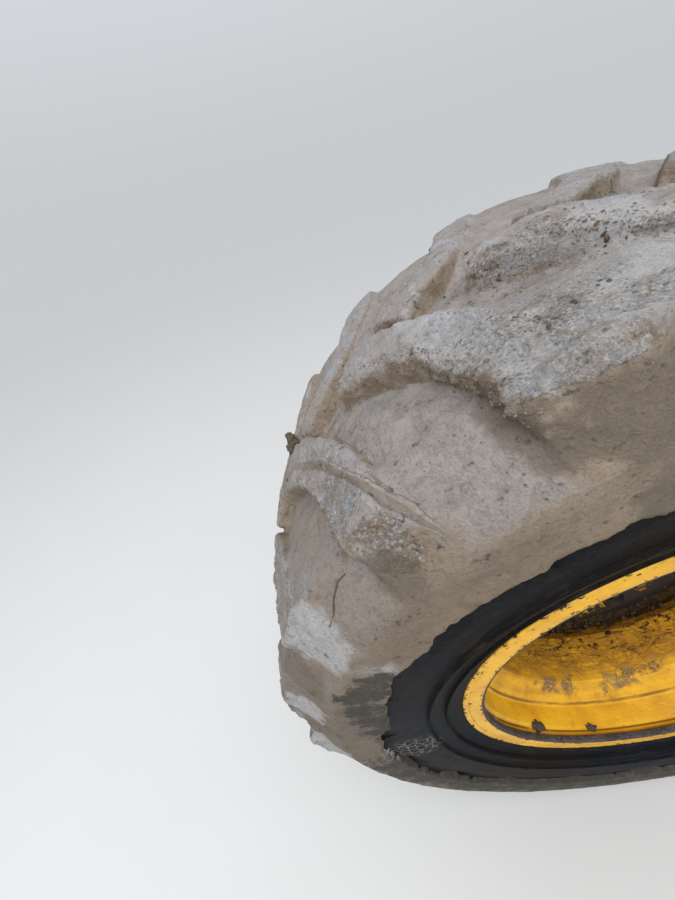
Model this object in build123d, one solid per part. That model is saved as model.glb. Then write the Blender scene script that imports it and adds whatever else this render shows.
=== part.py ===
"""Forestry machine wheel with its planetary hub and spindle, in millimetres.

The wheel axis is Y and +Z is up. The origin is on the axis, in the face of the spindle flange that
bolts to the machine, so the wheel lies at negative Y and its outer side faces -Y.
"""
import math
import os

from build123d import *

# Rim: drop centre, for a 26.5 inch bead
bead_radius = 336.5
bead_seat_width = 45.0
flange_height = 25.5
flange_corner = 12.0
flange_wall = 10.0
rim_width = 508.0
rim_wall = 12.0
lip_thickness = 9.0
well_depth = 36.5
well_width = 85.0
slope_run = 38.0

# Reinforcing rings welded into the rim flanges
ring_thickness = 12.0
ring_edge_break = 3.0
ring_bore_step = 1.0

# Tyre body
tyre_radius = 670.0
crown_drop = 22.0
tyre_bulge = 30.0
rim_edge_step = 1.5
tread_wall = 28.0
side_wall = 26.0
bead_width = 44.0
bead_toe_drop = 10.0
bead_toe_height = 8.0
tread_edge_inset = 38.0
tread_edge_drop = 12.0
rim_cushion = 4.0
seat_gap = 0.3

# Tread lugs, one row each side, handed to each other and turned by a share of the pitch
lug_count = 19
lug_depth = 42.0
lug_width = 68.0
lug_draft = 5.0
lug_foot_slant = 14.0
lug_turn = 50.0
lug_straight = 60.0
lug_bends = 3
lug_ridge = 8.0
lug_root_share = 0.45
centre_gap = 8.0
shoulder_inset = 12.0
first_lug_angle = 135.3
row_stagger = 0.6

# Mud caked in the gaps of the outer row, hollowed beside one lug and level with the next
mud_root = 46.0

# Wheel disc and its openings
disc_thickness = 18.0
disc_face = 272.0
disc_dish = 24.0
dish_run = 62.0
nave_radius = 224.0
pilot_radius = 140.0
hand_hole_count = 8
hand_hole_radius = 25.0

# Wheel studs and nuts
stud_count = 10
stud_circle_radius = 167.5
stud_radius = 11.0
stud_hole_clearance = 1.5
nut_across_flats = 32.0
nut_height = 22.0
stud_end = 14.0

# Planetary hub, turning with the wheel
hub_flange_radius = 204.0
hub_flange_thickness = 28.0
hub_drum_radius = 142.0
hub_drum_length = 138.0
hub_root = 6.0
pilot_length = 26.0
gear_ring_radius = 131.0
gear_ring_length = 58.0
gear_ring_lip = 10.0
gear_ring_step = 6.0
bearing_radius = 70.0
bearing_clearance = 0.05

# Cover of the planetary gear, its bolts and oil plugs
cover_radius = 118.0
cover_flange = 12.0
cover_dome = 20.0
dome_radius = 73.0
dome_slope = 10.0
cover_bolt_count = 12
cover_bolt_circle = 103.0
cover_bolt_flats = 18.0
cover_bolt_head = 8.0
filler_flats = 36.0
filler_height = 8.0
level_flats = 24.0
level_height = 6.0
level_offset = 42.0

# Spindle, fixed to the machine
back_space = 60.0
spindle_flange_radius = 210.0
spindle_flange_thickness = 28.0
spindle_neck_radius = 150.0
spindle_neck_taper = 24.0
neck_root = 6.0
seal_gap = 3.0
spindle_nose = 14.0
spigot_radius = 120.0
spigot_height = 8.0
spigot_chamfer = 2.0
mount_hole_count = 12
mount_hole_radius = 11.0
mount_circle_radius = 185.0
gusset_count = 6
gusset_thickness = 14.0
gusset_start = 40.0
gusset_margin = 12.0
spindle_bore_radius = 40.0

# Drive shaft, splined where the machine's gear drives it
shaft_radius = 27.0
shaft_end_gap = 5.0
journal_radius = 32.0
journal_lead = 12.0
journal_reach = 4.0
spline_count = 16
spline_radius = 30.0
spline_depth = 4.0
spline_length = 46.0
shaft_seal_length = 24.0

# Tyre valve
valve_angle = 90.0
valve_stem_radius = 5.0
valve_nut_radius = 11.0
valve_nut_height = 8.0
valve_length = 44.0
valve_cap_radius = 7.0
valve_cap_length = 16.0

# How far a cutting tool runs past the faces that it cuts
overrun = 5.0

# Places worked out from the sizes above, along Y from the machine's face
flange_reach = ring_thickness + flange_wall
seat_end = flange_reach + bead_seat_width
well_start = seat_end + slope_run
well_end = well_start + well_width
slope_shift = rim_wall * math.tan(math.atan2(well_depth, slope_run) / 2)
rim_total = rim_width + 2 * flange_reach
outer_face = -(rim_total + back_space)
inner_face = -back_space
wheel_centre = outer_face + rim_total / 2
flange_radius = bead_radius + flange_height
barrel_radius = bead_radius - rim_wall
tread_base = tyre_radius - lug_depth
section_height = tread_base - flange_radius
pitch = 360.0 / lug_count
disc_front = outer_face + disc_face
disc_back = disc_front + disc_thickness
hub_flange_back = disc_back + hub_flange_thickness
drum_end = hub_flange_back + hub_drum_length
pilot_front = disc_back - pilot_length
gear_ring_front = pilot_front - gear_ring_length
cover_front = gear_ring_front - cover_flange
dome_front = cover_front - cover_dome
neck_end = drum_end + seal_gap
tube_end = pilot_front + spindle_nose
seal_start = spigot_height - shaft_seal_length
journal_end = spigot_height + journal_reach
spline_end = journal_end + spline_length

# Sidewall of the tyre body: share of the section height, and of the body's bulge past the rim face
wall_curve = [(0.19, 0.64), (0.42, 1.0), (0.66, 0.73), (0.84, 0.18)]

# Top of the mud at three places across the outer row: distance in from the outer face, depth under
# the tyre radius beside the lug that shelters it, in the middle of the gap, and at the next lug
mud_sections = [(-40.0, 114.0, 103.0, 78.0), (50.0, 48.0, 33.0, 19.0), (250.0, 48.0, 47.0, 46.0)]
packed_sections = [(-40.0, 84.0, 82.0, 78.0), (50.0, 24.0, 22.0, 19.0), (250.0, 48.0, 47.0, 46.0)]
packed_gap = 17

# Ridge line of the lugs on the sidewall, with the same two columns but the lugs' own bulge
ridge_curve = [(0.38, -1.73), (0.56, 0.73), (0.74, 1.0)]


def turned(points):
    """A solid turned about the wheel axis from a (y, radius) outline."""
    outline = Plane.YZ * Polyline(*points, close=True)
    return revolve(make_face(outline), Axis.Y, 360)


def around(count, first_angle=0.0):
    """Rotations about the wheel axis for evenly spaced copies, angles from +X towards +Z."""
    return [Rot(0, -(first_angle + 360.0 * i / count), 0) for i in range(count)]


def pin_along_y(radius, y_from, y_to, circle_radius=0.0):
    """A cylinder parallel to the wheel axis, on the +X side at the circle's radius."""
    centre = Pos(circle_radius, (y_from + y_to) / 2, 0) * Rot(90, 0, 0)
    return centre * Cylinder(radius, abs(y_to - y_from))


def hexagon_along_y(across_flats, y_from, y_to, circle_radius=0.0):
    """A hexagonal prism parallel to the wheel axis."""
    plane = Plane(origin=(circle_radius, y_from, 0), x_dir=(1, 0, 0), z_dir=(0, 1, 0))
    prism = plane * RegularPolygon(across_flats / 2, 6, major_radius=False)
    return extrude(prism, amount=y_to - y_from)


def rim_base():
    """Rolled rim: two flanges, two bead seats and an offset well."""
    y = outer_face
    lip_inside = flange_radius - lip_thickness
    far_seat = well_end + slope_run
    well = bead_radius - well_depth
    tyre_side = [
        (y, flange_radius),
        (y + flange_reach - flange_corner, flange_radius),
        (y + flange_reach, flange_radius - flange_corner),
        (y + flange_reach, bead_radius),
        (y + seat_end, bead_radius),
        (y + well_start, well),
        (y + well_end, well),
        (y + far_seat, bead_radius),
        (inner_face - flange_reach, bead_radius),
        (inner_face - flange_reach, flange_radius - flange_corner),
        (inner_face - flange_reach + flange_corner, flange_radius),
        (inner_face, flange_radius),
    ]
    barrel_side = [
        (inner_face, lip_inside),
        (inner_face - ring_thickness, lip_inside),
        (inner_face - ring_thickness, lip_inside - flange_corner),
        (inner_face - flange_reach - slope_shift, barrel_radius),
        (y + far_seat + slope_shift, barrel_radius),
        (y + well_end + slope_shift, well - rim_wall),
        (y + well_start - slope_shift, well - rim_wall),
        (y + seat_end - slope_shift, barrel_radius),
        (y + flange_reach + slope_shift, barrel_radius),
        (y + ring_thickness, lip_inside - flange_corner),
        (y + ring_thickness, lip_inside),
        (y, lip_inside),
    ]
    rim = turned(tyre_side + barrel_side)
    return rim - valve_bore()


def reinforcing_ring(y_outside, inward):
    """Flat ring seated inside a rim lip, its bore edge broken on the outside."""
    lip_inside = flange_radius - lip_thickness - seat_gap
    bore = barrel_radius + ring_bore_step
    y_inside = y_outside + inward * ring_thickness
    ring = turned([
        (y_outside, bore),
        (y_outside, lip_inside),
        (y_inside, lip_inside),
        (y_inside, bore),
    ])
    bore_edges = ring.edges().filter_by(GeomType.CIRCLE).group_by(SortBy.RADIUS)[0]
    outer_edge = bore_edges.sort_by(Axis.Y)[0 if inward > 0 else -1]
    return chamfer(outer_edge, ring_edge_break)


def across_centre(points):
    """The outline and its mirror image across the wheel's centre plane, where the outline ends."""
    return points + [(2 * wheel_centre - y, r) for y, r in reversed(points[:-1])]


def on_section(rows, bulge):
    """Points (y, radius) for rows of (share of the section height, share of the bulge)."""
    return [
        (outer_face - bulge_share * bulge, flange_radius + share * section_height)
        for share, bulge_share in rows
    ]


def tyre_body():
    """Tyre body without lugs, its air chamber still full."""
    near_wall = outer_face + flange_reach + seat_gap
    bead = [
        (near_wall, bead_radius + seat_gap),
        (near_wall, flange_radius - flange_corner + seat_gap),
        (near_wall - flange_corner, flange_radius + seat_gap),
        (outer_face + rim_edge_step, flange_radius + seat_gap),
        (outer_face, flange_radius + rim_cushion),
    ]
    tread = [
        (outer_face + tread_edge_inset, tread_base - tread_edge_drop),
        (wheel_centre, tread_base),
    ]
    wall = on_section(wall_curve, tyre_bulge - lug_ridge)
    return turned(across_centre(bead + wall + tread))


def air_chamber():
    """Space inside the tyre, down past its beads to the rim."""
    toe = outer_face + flange_reach + seat_gap + bead_width
    bead = [
        (toe, bead_radius - bead_toe_drop),
        (toe, bead_radius + bead_toe_height),
    ]
    wall = [
        (y + side_wall, r)
        for y, r in on_section(wall_curve[:3], tyre_bulge - lug_ridge)
    ]
    tread = [
        (outer_face + tread_edge_inset + side_wall, tread_base - tread_edge_drop - tread_wall),
        (wheel_centre, tread_base - tread_wall),
    ]
    return turned(across_centre(bead + wall + tread))


def lug_envelope():
    """Turned body that the lug tips lie in, with sloping shoulders down the sidewall."""
    crown = [
        (outer_face + shoulder_inset, tyre_radius - crown_drop),
        (wheel_centre, tyre_radius),
    ]
    return turned(across_centre(on_section(ridge_curve, tyre_bulge) + crown))


def lug_plan():
    """Plan of one outer lug on the unrolled tread: straight foot, then bent along the tread."""
    slant = math.radians(lug_foot_slant)
    foot_y = outer_face - tyre_bulge - overrun
    knee_y = outer_face + lug_straight
    tip_y = wheel_centre - centre_gap
    headings = [slant + math.radians(lug_turn) * (i + 0.5) / lug_bends for i in range(lug_bends)]
    reach = (tip_y - knee_y) / sum(math.cos(h) for h in headings)
    path = [
        (foot_y, (foot_y - outer_face) * math.tan(slant)),
        (knee_y, (knee_y - outer_face) * math.tan(slant)),
    ]
    for heading in headings:
        y_last, s_last = path[-1]
        path.append((y_last + reach * math.cos(heading), s_last + reach * math.sin(heading)))
    return path


def path_offset(path, y):
    """How far round the tyre the lug path lies at y."""
    for (y_last, s_last), (y_next, s_next) in zip(path, path[1:]):
        if y <= y_next:
            return s_last + (s_next - s_last) * (y - y_last) / (y_next - y_last)
    return path[-1][1]


def offset_side(path, distance):
    """The path moved sideways by a distance, with mitred corners."""
    side = []
    for i, (y, s) in enumerate(path):
        legs = [(path[j], path[j + 1]) for j in (i - 1, i) if 0 <= j < len(path) - 1]
        angles = [math.atan2(b[1] - a[1], b[0] - a[0]) for a, b in legs]
        mean = sum(angles) / len(angles)
        stretch = distance / math.cos((angles[-1] - angles[0]) / 2)
        side.append((y - stretch * math.sin(mean), s + stretch * math.cos(mean)))
    return side


def lug_blank():
    """One outer lug at the top of the tyre, before its tip is cut to the tyre's shape."""
    path = lug_plan()
    left = offset_side(path, lug_width / 2)
    right = offset_side(path, -lug_width / 2)
    plane = Plane(origin=(0, 0, tyre_radius), x_dir=(0, 1, 0), z_dir=(0, 0, 1))
    outline = plane * make_face(Polyline(*left, *reversed(right), close=True))
    depth = lug_depth + (1 - lug_root_share) * section_height
    return extrude(outline, amount=-depth, taper=-lug_draft)


def lug_rows():
    """One outer lug and one inner lug at the top of the tyre, the inner one turned by the stagger."""
    outer_lug = lug_blank() & lug_envelope()
    inner_lug = outer_lug.mirror(Plane(origin=(0, wheel_centre, 0), z_dir=(0, 1, 0)))
    return outer_lug, Rot(0, -row_stagger * pitch, 0) * inner_lug


def tyre():
    """Tyre with both rows of lugs fused to its body."""
    outer_lug, inner_lug = lug_rows()
    lugs = []
    for turn in around(lug_count, first_lug_angle - 90.0):
        lugs.append(turn * outer_lug)
        lugs.append(turn * inner_lug)
    return tyre_body().fuse(*lugs) - air_chamber()


def gap_filling(sections):
    """Mud of one gap, at the top of the tyre: lofted across it, then cut by the lugs and the tyre."""
    half_gap = tyre_radius * math.sin(math.radians(pitch / 2))
    path = lug_plan()
    faces = []
    for inset, *depths in sections:
        y = outer_face + inset
        run = path_offset(path, y)
        corners = [(run + side * half_gap, depth) for side, depth in zip((-1, 0, 1), depths)]
        top = [(s, math.sqrt((tyre_radius - depth) ** 2 - s ** 2)) for s, depth in corners]
        root = min(z for s, z in top) - mud_root
        plane = Plane(origin=(0, y, 0), x_dir=(-1, 0, 0), z_dir=(0, 1, 0))
        outline = Polyline((top[0][0], root), *top, (top[-1][0], root), close=True)
        faces.append(plane * make_face(outline))
    filling = loft(faces, ruled=True) & lug_envelope()
    turns = [Rot(0, -step * pitch, 0) for step in (-1.5, -0.5, 0.5)]
    neighbours = [turn * lug for turn in turns for lug in lug_rows()]
    filling = filling - tyre_body() - neighbours
    return max(filling.solids(), key=lambda solid: solid.volume)


def caked_mud():
    """Mud in each gap of the outer row, one gap packed nearly level."""
    hollowed = gap_filling(mud_sections)
    packed = gap_filling(packed_sections)
    turns = around(lug_count, first_lug_angle - 90.0 + pitch / 2)
    return Compound(children=[
        turn * (packed if gap == packed_gap else hollowed) for gap, turn in enumerate(turns)
    ])


def wheel_disc():
    """Dished disc with its pilot bore, stud holes and hand holes."""
    welded_edge = barrel_radius - seat_gap
    dish_front = disc_front - disc_dish
    dish_back = dish_front + disc_thickness
    dish_shift = disc_thickness * math.tan(math.atan2(disc_dish, dish_run) / 2)
    disc = turned([
        (disc_front, pilot_radius + seat_gap),
        (disc_front, nave_radius),
        (dish_front, nave_radius + dish_run),
        (dish_front, welded_edge),
        (dish_back, welded_edge),
        (dish_back, nave_radius + dish_run + dish_shift),
        (disc_back, nave_radius + dish_shift),
        (disc_back, pilot_radius + seat_gap),
    ])
    hole_circle = (nave_radius + welded_edge) / 2
    stud_hole = stud_radius + stud_hole_clearance
    tool_start = dish_front - overrun
    tool_end = disc_back + overrun
    hand_hole = pin_along_y(hand_hole_radius, tool_start, tool_end, hole_circle)
    stud_bore = pin_along_y(stud_hole, tool_start, tool_end, stud_circle_radius)
    cutters = [turn * hand_hole for turn in around(hand_hole_count, 180.0 / hand_hole_count)]
    cutters += [turn * stud_bore for turn in around(stud_count)]
    return disc.cut(*cutters)


def wheel_nuts():
    """Wheel nuts seated on the disc, round the hub's studs."""
    nut_front = disc_front - nut_height
    body = hexagon_along_y(nut_across_flats, nut_front, disc_front, stud_circle_radius)
    bore = pin_along_y(
        stud_radius + seat_gap, nut_front - overrun, disc_front + overrun, stud_circle_radius)
    one = body - bore
    return Compound(children=[turn * one for turn in around(stud_count)])


def hub_drum():
    """Hub casting that turns on the spindle: drum, pilot and flange with its pressed-in studs."""
    bore = bearing_radius + bearing_clearance
    drum = turned([
        (pilot_front, bore),
        (pilot_front, pilot_radius),
        (disc_back, pilot_radius),
        (disc_back, hub_flange_radius),
        (hub_flange_back, hub_flange_radius),
        (hub_flange_back, hub_drum_radius + hub_root),
        (hub_flange_back + hub_root, hub_drum_radius),
        (drum_end, hub_drum_radius),
        (drum_end, bore),
    ])
    stud_front = disc_front - nut_height - stud_end
    stud_head = (disc_back + hub_flange_back) / 2
    stud = pin_along_y(stud_radius, stud_front, stud_head, stud_circle_radius)
    return drum.fuse(*[turn * stud for turn in around(stud_count)])


def gear_ring():
    """Ring gear housing bolted on the outside of the hub."""
    lip_radius = gear_ring_radius - gear_ring_step
    return turned([
        (pilot_front, 0),
        (pilot_front, gear_ring_radius),
        (gear_ring_front + gear_ring_lip + gear_ring_step, gear_ring_radius),
        (gear_ring_front + gear_ring_lip, lip_radius),
        (gear_ring_front, lip_radius),
        (gear_ring_front, 0),
    ])


def hub_cover():
    """Domed cover that closes the planetary gear."""
    return turned([
        (gear_ring_front, 0),
        (gear_ring_front, cover_radius),
        (cover_front, cover_radius),
        (cover_front, dome_radius + dome_slope),
        (dome_front + dome_slope, dome_radius),
        (dome_front, dome_radius - dome_slope),
        (dome_front, 0),
    ])


def cover_bolts():
    """Hexagon bolts round the cover's flange."""
    head = hexagon_along_y(
        cover_bolt_flats, cover_front - cover_bolt_head, cover_front, cover_bolt_circle)
    half_pitch = 180.0 / cover_bolt_count
    return Compound(children=[turn * head for turn in around(cover_bolt_count, half_pitch)])


def cover_plugs():
    """Oil filler plug in the middle of the cover and level plug beside it."""
    filler = hexagon_along_y(filler_flats, dome_front - filler_height, dome_front)
    level = hexagon_along_y(level_flats, dome_front - level_height, dome_front, level_offset)
    return Compound(children=[filler, level])


def spindle_housing():
    """Casting that bolts to the machine, with the spindle that the hub turns on."""
    flange_front = -spindle_flange_thickness
    housing = turned([
        (tube_end, spindle_bore_radius),
        (tube_end, bearing_radius),
        (neck_end, bearing_radius),
        (neck_end, hub_drum_radius - neck_root),
        (neck_end + spindle_neck_taper, spindle_neck_radius),
        (flange_front, spindle_neck_radius + neck_root),
        (flange_front, spindle_flange_radius),
        (0, spindle_flange_radius),
        (0, spigot_radius),
        (spigot_height, spigot_radius - spigot_chamfer),
        (spigot_height, spindle_bore_radius),
    ])
    rib_inner = spindle_neck_radius - neck_root
    rib_start = neck_end + gusset_start
    rib_end = flange_front / 2
    rib_face = Plane.YZ * make_face(Polyline(
        (rib_start, rib_inner),
        (rib_start, spindle_neck_radius + neck_root),
        (flange_front, spindle_flange_radius - gusset_margin),
        (rib_end, spindle_flange_radius - gusset_margin),
        (rib_end, rib_inner),
        close=True,
    ))
    rib = extrude(rib_face, amount=gusset_thickness / 2, both=True)
    half_pitch = 180.0 / mount_hole_count
    housing = housing.fuse(*[turn * rib for turn in around(gusset_count, 90 + half_pitch)])
    hole = pin_along_y(
        mount_hole_radius, flange_front - overrun, overrun, mount_circle_radius)
    return housing.cut(*[turn * hole for turn in around(mount_hole_count)])


def shaft_seal():
    """Oil seal carrier pressed in the spindle bore round the drive shaft."""
    inside = journal_radius + bearing_clearance
    outside = spindle_bore_radius - bearing_clearance
    return turned([
        (seal_start, inside),
        (seal_start, outside),
        (spigot_height, outside),
        (spigot_height, inside),
    ])


def drive_shaft():
    """Shaft from the machine to the planetary gear, with a splined end."""
    shaft = turned([
        (pilot_front + shaft_end_gap, 0),
        (pilot_front + shaft_end_gap, shaft_radius),
        (seal_start - journal_lead, shaft_radius),
        (seal_start - journal_lead, journal_radius),
        (journal_end, journal_radius),
        (journal_end, spline_radius),
        (spline_end, spline_radius),
        (spline_end, 0),
    ])
    width = math.pi * spline_radius / spline_count
    groove_start = journal_end + journal_reach
    groove = Pos(spline_radius, (groove_start + spline_end + overrun) / 2, 0) * Box(
        2 * spline_depth, spline_end + overrun - groove_start, width)
    return shaft.cut(*[turn * groove for turn in around(spline_count)])


def valve_place():
    """Frame on the sloping rim wall: Z points out of the wall, into the wheel's dish."""
    middle_y = outer_face + (seat_end + well_start) / 2 - slope_shift
    middle_r = bead_radius - well_depth / 2 - rim_wall
    normal = (0, -well_depth, -slope_run)
    spot = Plane(origin=(0, middle_y, middle_r), x_dir=(1, 0, 0), z_dir=normal)
    return Rot(0, -(valve_angle - 90.0), 0) * Location(spot)


def valve_bore():
    """Hole for the valve through the rim wall."""
    return valve_place() * Cylinder(valve_stem_radius + seat_gap, 4 * rim_wall)


def valve_stem():
    """Metal valve clamped through the rim wall."""
    stem = Cylinder(valve_stem_radius, valve_length, align=(Align.CENTER, Align.CENTER, Align.MIN))
    nut = extrude(RegularPolygon(valve_nut_radius, 6), amount=valve_nut_height)
    return valve_place() * Pos(0, 0, 2 * seat_gap) * (stem + nut)


def valve_cap():
    """Cap screwed on the valve."""
    start = 2 * seat_gap + valve_length
    cap = Cylinder(valve_cap_radius, valve_cap_length, align=(Align.CENTER, Align.CENTER, Align.MIN))
    return valve_place() * Pos(0, 0, start) * cap


nodes = {
    "spindle_housing": spindle_housing,
    "shaft_seal": shaft_seal,
    "drive_shaft": drive_shaft,
    "hub_drum": hub_drum,
    "gear_ring": gear_ring,
    "hub_cover": hub_cover,
    "cover_bolts": cover_bolts,
    "cover_plugs": cover_plugs,
    "wheel_nuts": wheel_nuts,
    "wheel_disc": wheel_disc,
    "rim_base": rim_base,
    "outer_ring": lambda: reinforcing_ring(outer_face, 1),
    "inner_ring": lambda: reinforcing_ring(inner_face, -1),
    "valve_stem": valve_stem,
    "valve_cap": valve_cap,
    "tyre": tyre,
    "caked_mud": caked_mud,
}

os.makedirs("parts", exist_ok=True)
for name, make in nodes.items():
    solid = make()
    export_step(solid, f"parts/{name}.step")
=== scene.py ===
"""Looks of a forestry machine wheel with its hub and spindle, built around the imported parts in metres.

The wheel axis is Y, its outer side faces -Y and +Z is up. Angles go from +X towards +Z.
"""
import itertools
import math

import bpy
import numpy as np
from mathutils import Matrix, Vector


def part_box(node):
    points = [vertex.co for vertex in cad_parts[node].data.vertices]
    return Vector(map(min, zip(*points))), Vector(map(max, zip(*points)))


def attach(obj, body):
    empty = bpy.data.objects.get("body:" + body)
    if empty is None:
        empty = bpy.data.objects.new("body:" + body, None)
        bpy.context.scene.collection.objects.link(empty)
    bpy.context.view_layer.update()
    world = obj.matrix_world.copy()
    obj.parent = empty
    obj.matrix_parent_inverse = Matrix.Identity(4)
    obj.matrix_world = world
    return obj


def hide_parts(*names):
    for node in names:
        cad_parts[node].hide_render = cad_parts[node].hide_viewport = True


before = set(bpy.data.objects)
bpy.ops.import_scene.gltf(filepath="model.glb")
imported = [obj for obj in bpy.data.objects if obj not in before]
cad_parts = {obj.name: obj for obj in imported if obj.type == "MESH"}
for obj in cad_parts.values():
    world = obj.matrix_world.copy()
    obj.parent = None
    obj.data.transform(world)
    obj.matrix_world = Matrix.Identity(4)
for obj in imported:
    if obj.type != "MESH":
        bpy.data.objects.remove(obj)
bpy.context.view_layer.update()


# Spindle housing: an iron casting with a bolting flange and six gussets, fixed to the machine.
# Painted dark blue-black, dull with dust, and with the roughness of a sand casting.
def select_only(piece):
    """The piece alone is selected and active."""
    bpy.ops.object.select_all(action="DESELECT")
    piece.select_set(True)
    bpy.context.view_layer.objects.active = piece


def placed(name, data):
    """A new object of the data, in the scene."""
    thing = bpy.data.objects.new(name, data)
    bpy.context.scene.collection.objects.link(thing)
    return thing


def edited(piece, *tools):
    """Runs mesh tools one after the other on all of the piece, each with its settings."""
    select_only(piece)
    bpy.ops.object.mode_set(mode="EDIT")
    for tool, settings in tools:
        bpy.ops.mesh.select_all(action="SELECT")
        tool(**settings)
    bpy.ops.object.mode_set(mode="OBJECT")


def apply_modifier(piece, kind, **settings):
    """Adds a modifier to the piece and applies it."""
    select_only(piece)
    modifier = piece.modifiers.new("shape", kind)
    for setting, value in settings.items():
        setattr(modifier, setting, value)
    bpy.ops.object.modifier_apply(modifier=modifier.name)


def copied(node, name):
    """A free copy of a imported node, with its loose triangles merged into whole faces."""
    piece = placed(name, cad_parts[node].data.copy())
    select_only(piece)
    if piece.data.has_custom_normals:
        bpy.ops.mesh.customdata_custom_splitnormals_clear()
    edited(piece, (bpy.ops.mesh.remove_doubles, {"threshold": 0.00002}),
           (bpy.ops.mesh.dissolve_limited, {"angle_limit": math.radians(0.2)}))
    return piece


def rounded(piece, width, segments=2, sharp=28):
    """The piece's sharp edges rounded and its curved faces shaded smooth."""
    apply_modifier(piece, "BEVEL", width=width, segments=segments, limit_method="ANGLE",
                   angle_limit=math.radians(sharp), use_clamp_overlap=True)
    select_only(piece)
    bpy.ops.object.shade_smooth_by_angle(angle=math.radians(40))


def dress(piece, material, body, slot, *nodes):
    """The piece gets its finish, rides on its body and stands for its nodes."""
    piece.data.materials.clear()
    piece.data.materials.append(material)
    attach(piece, body)
    if nodes:
        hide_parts(*nodes)


def dressed_part(node, name, material, body, slot, width, segments=2):
    """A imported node's copy, with edges rounded to a width in metres, dressed in its node's place."""
    piece = copied(node, name)
    rounded(piece, width, segments)
    dress(piece, material, body, slot, node)


def feed(socket, value):
    """A socket is linked to another one, or holds a number or a colour."""
    if isinstance(value, bpy.types.NodeSocket):
        socket.id_data.links.new(value, socket)
    elif isinstance(value, tuple) and len(value) == 3 and socket.type == "RGBA":
        socket.default_value = (*value, 1.0)
    else:
        socket.default_value = value


def new_node(near, kind, inputs, **settings):
    """A new node in the tree of a socket or a node, its inputs fed by name or number."""
    node = near.id_data.nodes.new("ShaderNode" + kind)
    for setting, value in settings.items():
        setattr(node, setting, value)
    for key, value in inputs.items():
        feed(node.inputs[key], value)
    return node


def new_finish(name, specular=0.5):
    """A new material with its shader and the object's own coordinates."""
    material = bpy.data.materials.new(name)
    material.use_nodes = True
    shader = material.node_tree.nodes["Principled BSDF"]
    feed(shader.inputs["Specular IOR Level"], specular)
    return material, shader, new_node(shader, "TexCoord", {}).outputs["Object"]


def blots(place, size, detail=4.0, rough=0.6, warp=0.0):
    """Cloudy pattern from 0 to 1 with blots about size metres across."""
    inputs = {"Vector": place, "Scale": 1 / size, "Detail": detail, "Roughness": rough, "Distortion": warp}
    return new_node(place, "TexNoise", inputs).outputs["Fac"]


def between(value, low, high, to_low=0.0, to_high=1.0):
    """Soft step of a value from low to high."""
    inputs = {0: value, 1: low, 2: high, 3: to_low, 4: to_high}
    return new_node(value, "MapRange", inputs, interpolation_type="SMOOTHSTEP").outputs["Result"]


def sums(operation, first, second=0.0):
    """Arithmetic on two values."""
    near = first if isinstance(first, bpy.types.NodeSocket) else second
    return new_node(near, "Math", {0: first, 1: second}, operation=operation).outputs[0]


def times(*values):
    """Product of several values."""
    product = values[0]
    for value in values[1:]:
        product = sums("MULTIPLY", product, value)
    return product


def tint(share, first, second):
    """From the first colour to the second by a share."""
    return new_node(share, "Mix", {0: share, 6: first, 7: second}, data_type="RGBA").outputs[2]


def layered(colour, *layers):
    """The colour with tones laid over it in turn, each by the product of the shares after it."""
    for tone, *shares in layers:
        colour = tint(times(*shares), colour, tone)
    return colour


def surface(shader, colour, roughness, *layers):
    """Colour, roughness and relief of a finish. A layer of relief is a pattern and its height in metres."""
    feed(shader.inputs["Base Color"], colour)
    feed(shader.inputs["Roughness"], roughness)
    normal = None
    for pattern, height in layers:
        bump = new_node(shader, "Bump", {"Distance": height, "Height": pattern})
        if normal:
            feed(bump.inputs["Normal"], normal)
        normal = bump.outputs["Normal"]
    if normal:
        feed(shader.inputs["Normal"], normal)


def painted_casting(name, paint, worn, dust):
    """Paint over cast iron: mottled, rubbed to a worn colour in places, dusty in broad blots."""
    material, shader, place = new_finish(name)
    grit = blots(place, 0.004, 5.0)
    broad = blots(place, 0.09, 5.0, 0.65)
    dusty = between(sums("ADD", broad, times(grit, 0.45)), 0.5, 0.98)
    rubbed = between(blots(place, 0.025, 6.0, 0.7), 0.63, 0.68)
    surface(shader, layered(paint, (worn, rubbed), (dust, dusty)), between(broad, 0.3, 0.7, 0.42, 0.8),
            (grit, 0.0006), (broad, 0.0012))
    return material


casting_paint = painted_casting("machine_paint", (0.012, 0.02, 0.036), (0.035, 0.028, 0.024),
                                (0.21, 0.165, 0.125))
dressed_part("spindle_housing", "spindle_casting", casting_paint, "spindle", "machine_paint", 0.002)


# Shaft seal: a rubber-covered oil seal pressed in the spindle's end round the drive shaft.
# Matt black, with a greasy film of dust.
material, shader, place = new_finish("seal_rubber")
film = blots(place, 0.012)
surface(shader, tint(film, (0.012, 0.012, 0.012), (0.06, 0.05, 0.04)),
        between(film, 0.3, 0.7, 0.35, 0.7), (film, 0.0004))
dressed_part("shaft_seal", "seal_ring", material, "spindle", "seal_rubber", 0.0012)


# Drive shaft: a turned and splined steel shaft that brings the machine's power to the hub.
# Bare oiled steel with turning marks and a few rust spots.
def stretched(place, x, y, z):
    """Coordinates scaled along each axis, so that a pattern runs the other way."""
    return new_node(place, "Mapping", {"Vector": place, "Scale": (x, y, z)}).outputs["Vector"]


def bare_metal(name, metal, tarnish, turning=0.0006):
    """Bare metal: fine marks across the axis, tarnish in blots."""
    material, shader, place = new_finish(name)
    marks = blots(stretched(place, 1.0, 60.0, 1.0), 0.03, 3.0)
    spots = between(blots(place, 0.015, 6.0, 0.7), 0.52, 0.66)
    feed(shader.inputs["Metallic"], between(spots, 0.0, 1.0, 1.0, 0.35))
    surface(shader, tint(spots, metal, tarnish), between(spots, 0.0, 1.0, 0.32, 0.75),
            (marks, turning), (spots, 0.0003))
    return material


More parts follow.
